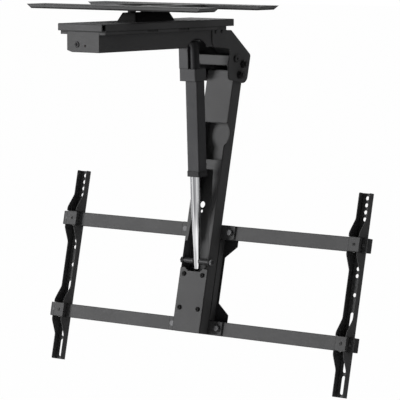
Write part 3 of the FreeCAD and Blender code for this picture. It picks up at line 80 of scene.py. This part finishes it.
# Roughness of each kind of surface, at its smoothest and roughest places
SATIN = (0.66, 0.8)
DEEP_SATIN = (0.7, 0.84)
OILED = (0.28, 0.44)
PHOSPHATE = (0.5, 0.62)
CAST = (0.56, 0.7)
UNLIT = (0.6, 0.75)
MOULDED = (0.45, 0.62)
POLISHED = (0.08, 0.14)
PLATED = (0.26, 0.4)
TURNED = (0.25, 0.4)
FROSTED = (0.45, 0.6)


class Noise(NamedTuple):
    """A noise texture: features per metre, octaves, and how much the fine octaves count."""

    scale: float
    detail: float
    roughness: float


class Peel(NamedTuple):
    """Orange peel of a coat: grains per metre and their depth in metres."""

    scale: float
    depth: float


class Lines(NamedTuple):
    """Lines along bare metal, fine die lines on steel and brass and broad bands of painted reflection on the
    chrome: lines per metre across and along, depth in metres, and noise values used.
    """

    across: float
    along: float
    depth: float
    span: tuple


# Patterns of the coats
CLOUDS = Noise(7.0, 4.0, 0.6)
CLOUD_SPAN = (0.32, 0.68)
WEAR = Noise(160.0, 3.0, 0.65)
WEAR_SPAN = (0.5, 0.7)
MOST_WEAR = 0.8
SMEARS = Noise(23.0, 5.0, 0.7)
COAT_PEEL = Peel(900.0, 0.00012)
STEEL_PEEL = Peel(1500.0, 0.00004)
CASE_PEEL = Peel(1100.0, 0.00008)
MOULD_PEEL = Peel(1300.0, 0.0001)
PEEL_DETAIL = 3.0
PEEL_ROUGHNESS = 0.55
PEEL_STRENGTH = 0.5
COAT_GLOSS = 0.08
COAT_ROUNDING = 0.0006

# Patterns of bare metal, which on the chrome are broad bands of painted reflection, and the lean of the rod
# that their lines follow
LINES_AND_BANDS = Noise(1.0, 3.0, 0.6)
FILM = Noise(60.0, 4.0, 0.6)
# Painted reflection on the chrome: a few broad bands around the rod, long along it
CHROME_REFLECTION_BANDS = Lines(210.0, 0.25, 0.000002, (0.40, 0.62))
STEEL_LINES = Lines(900.0, 60.0, 0.00003, (0.36, 0.62))
BRASS_LINES = Lines(700.0, 60.0, 0.00003, (0.36, 0.62))
LINE_STRENGTH = 0.2
METAL_ROUNDING = 0.0004
ROD_TURN = math.radians(2.35)

# Pattern of the lens
FROST = Noise(700.0, 3.0, 0.6)
LENS_GLOSS = 0.05

# The middle of a noise's values, where most of them lie
MIDDLE_SPAN = (0.3, 0.7)

# Reach of the painted edge shade from each edge, rays per place, and the rounded normal's share along the
# flat one where the shade begins and where it is full
PAINTED_EDGE_SHADE_RADIUS = 0.003
EDGE_SAMPLES = 4
EDGE_SPAN = (0.99, 0.86)

# Height below which the ceiling plate's lower rim gets painted shade, and half the blur of that line
PLATE_RIM_SHADE_HEIGHT = -0.0064
RIM_SHADE_BLUR = 0.0004

# Colour sockets of Blender's mix node
MIX_FIRST = 6
MIX_SECOND = 7
MIX_RESULT = 2

# Housing box, as in the part's source
BOX_HALF = 0.0464
LIP_DROP = 0.0075
SHEET = 0.002

# Faces of a flat plate over its eight corners, and its rounded edges
PLATE_FACES = [(0, 1, 3, 2), (4, 6, 7, 5), (0, 4, 5, 1), (2, 3, 7, 6), (0, 2, 6, 4), (1, 5, 7, 3)]
PLATE_ROUNDING = 0.0002
PLATE_SEGMENTS = 2

# Lamps, square: name, place, width and power in watts; all face the middle of the mount
MIDDLE = Vector((0.0, -0.03, -0.43))
LAMPS = [
    ("key_box", (7.38, 6.65, 0.535), 3.4, 1640.0),
    ("back_box", (2.2, -5.4, 1.2), 3.0, 220.0),
    ("side_box", (-6.0, -1.5, 1.0), 3.0, 46.0),
    ("top_box", (-0.5, -1.6, 4.4), 3.0, 50.0),
]

# Floor, and the share of it that glows where it is seen; the rest shows the shadow
FLOOR_HEIGHT = -2.4
FLOOR_HALF = 60.0
FLOOR_GLOW = 0.99

# Strength of the world's light on the mount, and of white where the world or floor is seen
WORLD_LIGHT = 0.045
FULL_WHITE = 1.0

# Camera of the photograph
CAMERA_PLACE = Vector((-4.03772, 4.65055, 0.19661))
CAMERA_AZIMUTH = math.radians(219.97)
CAMERA_ELEVATION = math.radians(5.84)
SENSOR_WIDTH = 36.0
FOCAL_PIXELS = 2787.0
PICTURE_PIXELS = 400.0
NEAREST_SEEN = 0.1
FARTHEST_SEEN = 200.0


class Finish:
    """One procedural material: nodes are added and linked by name."""

    def __init__(self, name):
        self.material = bpy.data.materials.new(f"{name}_finish")
        self.material.use_nodes = True
        self.tree = self.material.node_tree
        self.tree.nodes.clear()
        output = self.add("ShaderNodeOutputMaterial")
        self.shader = self.add("ShaderNodeBsdfPrincipled")
        self.join(self.shader, "BSDF", output, "Surface")
        self.place = self.add("ShaderNodeTexCoord")

    def add(self, kind, **values):
        node = self.tree.nodes.new(kind)
        for name, value in values.items():
            setattr(node, name, value)
        return node

    def join(self, source, output, target, socket):
        self.tree.links.new(source.outputs[output], target.inputs[socket])

    def noise(self, pattern, source=None):
        """A noise texture on the piece's own coordinates, or on those of the source."""
        texture = self.add("ShaderNodeTexNoise")
        texture.inputs["Scale"].default_value = pattern.scale
        texture.inputs["Detail"].default_value = pattern.detail
        texture.inputs["Roughness"].default_value = pattern.roughness
        if source is None:
            self.join(self.place, "Object", texture, "Vector")
        else:
            self.join(source, "Vector", texture, "Vector")
        return texture

    def span(self, source, output, taken, given=(0.0, 1.0)):
        """A value of the source in the span taken, carried to the span given."""
        node = self.add("ShaderNodeMapRange", clamp=True)
        self.join(source, output, node, "Value")
        for socket, value in zip(("From Min", "From Max", "To Min", "To Max"), (*taken, *given)):
            node.inputs[socket].default_value = value
        return node

    def blend(self, share, output, first, second):
        """A mix of two colours, each given as a colour or as the result of another blend."""
        node = self.add("ShaderNodeMix", data_type="RGBA")
        self.join(share, output, node, "Factor")
        for socket, colour in ((MIX_FIRST, first), (MIX_SECOND, second)):
            if isinstance(colour, tuple):
                node.inputs[socket].default_value = (*colour, 1.0)
            else:
                self.join(colour, MIX_RESULT, node, socket)
        return node

    def round_edges(self, radius):
        """Normals that round each edge by a radius, as a thick coat does."""
        bevel = self.add("ShaderNodeBevel", samples=EDGE_SAMPLES)
        bevel.inputs["Radius"].default_value = radius
        return bevel

    def near_edge(self, bevel):
        """How near an edge each place is, from 0 to 1 at the edge, as its rounded normal shows."""
        flat = self.add("ShaderNodeNewGeometry")
        turn = self.add("ShaderNodeVectorMath", operation="DOT_PRODUCT")
        self.join(bevel, "Normal", turn, 0)
        self.join(flat, "Normal", turn, 1)
        return self.span(turn, "Value", EDGE_SPAN)

    def paint(self, colour):
        """The surface's colour, the result of a blend."""
        self.join(colour, MIX_RESULT, self.shader, "Base Color")

    def dull(self, texture, roughness):
        """Roughness that varies with a noise texture."""
        self.join(self.span(texture, "Fac", MIDDLE_SPAN, roughness), "Result", self.shader, "Roughness")

    def grain(self, texture, strength, depth, bevel):
        """Bumps of a noise texture on top of the rounded edges."""
        bump = self.add("ShaderNodeBump")
        bump.inputs["Strength"].default_value = strength
        bump.inputs["Distance"].default_value = depth
        self.join(texture, "Fac", bump, "Height")
        self.join(bevel, "Normal", bump, "Normal")
        self.join(bump, "Normal", self.shader, "Normal")


def coated(name, dark, light, edge, roughness, peel, shade_height=None):
    """A painted or moulded surface: orange peel, faint clouding, painted shade along every edge and edges
    rubbed in places.

    With a shade height, the surface below that height gets the same painted shade.
    """
    finish = Finish(name)
    clouds = finish.span(finish.noise(CLOUDS), "Fac", CLOUD_SPAN)
    colour = finish.blend(clouds, "Result", dark, light)
    # Painted shade along every edge, near black, where a rounded edge would turn away from the light
    edge_shade = finish.near_edge(finish.round_edges(PAINTED_EDGE_SHADE_RADIUS))
    colour = finish.blend(edge_shade, "Result", colour, PAINTED_EDGE_SHADE)
    # Painted shade below the given height, standing in for a rim turned down out of the light
    if shade_height is not None:
        height = finish.add("ShaderNodeSeparateXYZ")
        finish.join(finish.place, "Object", height, "Vector")
        rim_shade = finish.span(height, "Z", (shade_height - RIM_SHADE_BLUR, shade_height + RIM_SHADE_BLUR), (1.0, 0.0))
        colour = finish.blend(rim_shade, "Result", colour, PAINTED_EDGE_SHADE)
    bevel = finish.round_edges(COAT_ROUNDING)
    worn = finish.span(finish.noise(WEAR), "Fac", WEAR_SPAN, (0.0, MOST_WEAR))
    rubbed = finish.add("ShaderNodeMath", operation="MULTIPLY")
    finish.join(finish.near_edge(bevel), "Result", rubbed, 0)
    finish.join(worn, "Result", rubbed, 1)
    finish.paint(finish.blend(rubbed, "Value", colour, edge))
    finish.dull(finish.noise(SMEARS), roughness)
    grains = finish.noise(Noise(peel.scale, PEEL_DETAIL, PEEL_ROUGHNESS))
    finish.grain(grains, PEEL_STRENGTH, peel.depth, bevel)
    finish.shader.inputs["Specular IOR Level"].default_value = COAT_GLOSS
    return finish.material


def lined_metal_with_painted_bands(name, dark, light, roughness, lines):
    """Bare metal with lines along the rod: fine die lines on steel and brass, broad light and dark bands of
    painted reflection on the chrome.
    """
    finish = Finish(name)
    finish.shader.inputs["Metallic"].default_value = 1.0
    line_up = finish.add("ShaderNodeMapping", vector_type="TEXTURE")
    line_up.inputs["Rotation"].default_value = (-ROD_TURN, 0.0, 0.0)
    line_up.inputs["Scale"].default_value = (1.0 / lines.across, 1.0 / lines.across, 1.0 / lines.along)
    finish.join(finish.place, "Object", line_up, "Vector")
    line_and_band_noise = finish.noise(LINES_AND_BANDS, line_up)
    # Colour from the line pattern: fine lines on steel and brass, bands of painted reflection on the chrome
    finish.paint(finish.blend(finish.span(line_and_band_noise, "Fac", lines.span), "Result", dark, light))
    finish.dull(finish.noise(FILM), roughness)
    finish.grain(line_and_band_noise, LINE_STRENGTH, lines.depth, finish.round_edges(METAL_ROUNDING))
    return finish.material


def lens(name):
    """A small dark moulded lens with a faint frosting."""
    finish = Finish(name)
    frost = finish.noise(FROST)
    finish.paint(finish.blend(finish.span(frost, "Fac", MIDDLE_SPAN), "Result", LENS_COLOUR, LENS_FROST))
    finish.dull(frost, FROSTED)
    finish.shader.inputs["Specular IOR Level"].default_value = LENS_GLOSS
    return finish.material


# Finishes by name, each with what its function takes
COATS = {
    "black_coat": (COAT_DARK, COAT_LIGHT, COAT_EDGE, SATIN, COAT_PEEL),
    # Black coat with painted shade on its lower rim
    "rim_shade_coat": (COAT_DARK, COAT_LIGHT, COAT_EDGE, SATIN, COAT_PEEL, PLATE_RIM_SHADE_HEIGHT),
    # Painted shade: a darker copy of the black coat
    "painted_shade_coat": (HEAD_PLATE_SHADE_DARK, HEAD_PLATE_SHADE_LIGHT, PLASTIC_EDGE, DEEP_SATIN, COAT_PEEL),
    "black_steel": (STEEL_DARK, STEEL_LIGHT, STEEL_EDGE, OILED, STEEL_PEEL),
    "grey_head": (GREY_DARK, GREY_LIGHT, STEEL_EDGE, PHOSPHATE, STEEL_PEEL),
    "gear_case": (CASE_DARK, CASE_LIGHT, CASE_EDGE, CAST, CASE_PEEL),
    "dull_case": (DULL_DARK, DULL_LIGHT, CASE_EDGE, CAST, CASE_PEEL),
    # The parts' own black, with painted shade on top
    "deep_black": (BLACK_AND_SHADE_DARK, BLACK_AND_SHADE_LIGHT, PLASTIC_EDGE, UNLIT, MOULD_PEEL),
    "black_plastic": (PLASTIC_DARK, PLASTIC_LIGHT, PLASTIC_EDGE, MOULDED, MOULD_PEEL),
}
METALS = {
    # Chrome with bands of painted reflection
    "chrome": (CHROME_REFLECTION_DARK, CHROME_REFLECTION_LIGHT, POLISHED, CHROME_REFLECTION_BANDS),
    "bright_steel": (ZINC_DARK, ZINC_LIGHT, PLATED, STEEL_LINES),
    "brass": (BRASS_DARK, BRASS_LIGHT, TURNED, BRASS_LINES),
}
FINISHES = {name: coated(name, *values) for name, values in COATS.items()}
FINISHES.update({name: lined_metal_with_painted_bands(name, *values) for name, values in METALS.items()})
FINISHES["lens"] = lens("lens")

# Pieces whose finish isn't the one named by their material slot
PIECE_FINISHES = {
    # Painted shade on the lower rim of the ceiling plate
    "ceiling_plate": "rim_shade_coat",
    # Own black, with painted shade beneath the ceiling plate
    "swivel_base": "deep_black",
    # Painted shade on the back plate behind the bars
    "head_back_plate": "painted_shade_coat",
    "actuator_tube": "dull_case",
    # Own black, with painted shade in the sockets
    "cover_bolts": "deep_black",
    "clamp_bolts": "grey_head",
    "stop_screws": "grey_head",
    "rod_pin_nut": "grey_head",
}

for name, piece in nodes.items():
    for place in piece.material_slots:
        slot = place.material.name.split(".")[0]
        place.material = FINISHES[PIECE_FINISHES.get(name, slot)]


def add_object(name, data):
    """A new object in the scene."""
    thing = bpy.data.objects.new(name, data)
    bpy.context.scene.collection.objects.link(thing)
    return thing


def lip_end(name, side):
    """A plate that closes the front end of one of the housing box's turned lips, flush with its front."""
    _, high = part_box("housing_box")
    across = sorted((side * BOX_HALF, side * (high[0] - SHEET)))
    deep = (high[1] - SHEET, high[1])
    tall = (high[2] - LIP_DROP, high[2] - SHEET)
    corners = [(x, y, z) for x in across for y in deep for z in tall]
    mesh = bpy.data.meshes.new(name)
    mesh.from_pydata(corners, [], PLATE_FACES)
    mesh.update()
    mesh.materials.append(FINISHES["black_coat"])
    plate = add_object(name, mesh)
    rounding = plate.modifiers.new("rounding", "BEVEL")
    rounding.width = PLATE_ROUNDING
    rounding.segments = PLATE_SEGMENTS
    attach(plate, "housing")


lip_end("lip_end_left", 1)
lip_end("lip_end_right", -1)


def add_lamp(name, place, width, power):
    """A square soft box that faces the middle of the mount."""
    light = bpy.data.lights.new(name, "AREA")
    light.shape = "SQUARE"
    light.size = width
    light.energy = power
    lamp = add_object(name, light)
    lamp.location = place
    lamp.rotation_mode = "QUATERNION"
    lamp.rotation_quaternion = (MIDDLE - Vector(place)).to_track_quat("-Z", "Y")


for values in LAMPS:
    add_lamp(*values)


def seen_white(tree):
    """1 for rays of the camera, of reflections and through glass, which see white, and 0 for others."""
    path = tree.nodes.new("ShaderNodeLightPath")
    seen = path.outputs["Is Camera Ray"]
    for ray in ("Is Glossy Ray", "Is Transmission Ray"):
        either = tree.nodes.new("ShaderNodeMath")
        either.operation = "MAXIMUM"
        tree.links.new(seen, either.inputs[0])
        tree.links.new(path.outputs[ray], either.inputs[1])
        seen = either.outputs["Value"]
    return seen


def glowing(tree, kind, output, strength):
    """A shader that gives white light."""
    node = tree.nodes.new(kind)
    node.inputs["Color"].default_value = (*WHITE, 1.0)
    node.inputs["Strength"].default_value = strength
    return node.outputs[output]


def mixed(tree, share, first, second):
    """A mix of two shaders, with the second's share."""
    node = tree.nodes.new("ShaderNodeMixShader")
    tree.links.new(share, node.inputs["Fac"])
    tree.links.new(first, node.inputs[1])
    tree.links.new(second, node.inputs[2])
    return node.outputs["Shader"]


def add_world():
    """A world that is white where it is seen and lights the mount only a little."""
    world = bpy.data.worlds.new("studio")
    bpy.context.scene.world = world
    world.use_nodes = True
    tree = world.node_tree
    tree.nodes.clear()
    output = tree.nodes.new("ShaderNodeOutputWorld")
    plain = glowing(tree, "ShaderNodeBackground", "Background", WORLD_LIGHT)
    bright = glowing(tree, "ShaderNodeBackground", "Background", FULL_WHITE)
    tree.links.new(mixed(tree, seen_white(tree), plain, bright), output.inputs["Surface"])


def add_floor():
    """A pale floor that is nearly white where it is seen, keeps a trace of shadow and is open from below."""
    mesh = bpy.data.meshes.new("floor")
    corners = [(-1, -1), (1, -1), (1, 1), (-1, 1)]
    mesh.from_pydata([(x * FLOOR_HALF, y * FLOOR_HALF, FLOOR_HEIGHT) for x, y in corners], [], [(0, 1, 2, 3)])
    floor = add_object("floor", mesh)
    finish = bpy.data.materials.new("floor_finish")
    finish.use_nodes = True
    tree = finish.node_tree
    tree.nodes.clear()
    output = tree.nodes.new("ShaderNodeOutputMaterial")
    paint = tree.nodes.new("ShaderNodeBsdfDiffuse")
    paint.inputs["Color"].default_value = (*FLOOR_COLOUR, 1.0)
    share = tree.nodes.new("ShaderNodeMath")
    share.operation = "MULTIPLY"
    tree.links.new(seen_white(tree), share.inputs[0])
    share.inputs[1].default_value = FLOOR_GLOW
    glow = glowing(tree, "ShaderNodeEmission", "Emission", FULL_WHITE)
    above = mixed(tree, share.outputs["Value"], paint.outputs["BSDF"], glow)
    side = tree.nodes.new("ShaderNodeNewGeometry")
    clear = tree.nodes.new("ShaderNodeBsdfTransparent")
    both = mixed(tree, side.outputs["Backfacing"], above, clear.outputs["BSDF"])
    tree.links.new(both, output.inputs["Surface"])
    mesh.materials.append(finish)


def add_camera():
    """The photograph's camera, from its azimuth and elevation."""
    data = bpy.data.cameras.new("camera")
    data.sensor_width = SENSOR_WIDTH
    data.lens = FOCAL_PIXELS / PICTURE_PIXELS * SENSOR_WIDTH
    data.clip_start = NEAREST_SEEN
    data.clip_end = FARTHEST_SEEN
    camera = add_object("camera", data)
    level = math.cos(CAMERA_ELEVATION)
    back = Vector(
        (math.sin(CAMERA_AZIMUTH) * level, -math.cos(CAMERA_AZIMUTH) * level, math.sin(CAMERA_ELEVATION))
    )
    right = (-back).cross(Vector((0.0, 0.0, 1.0))).normalized()
    up = right.cross(-back)
    turned = Matrix((right, up, back)).transposed().to_4x4()
    camera.matrix_world = Matrix.Translation(CAMERA_PLACE) @ turned
    bpy.context.scene.camera = camera


add_world()
add_floor()
add_camera()

bpy.context.scene.view_settings.view_transform = "Standard"
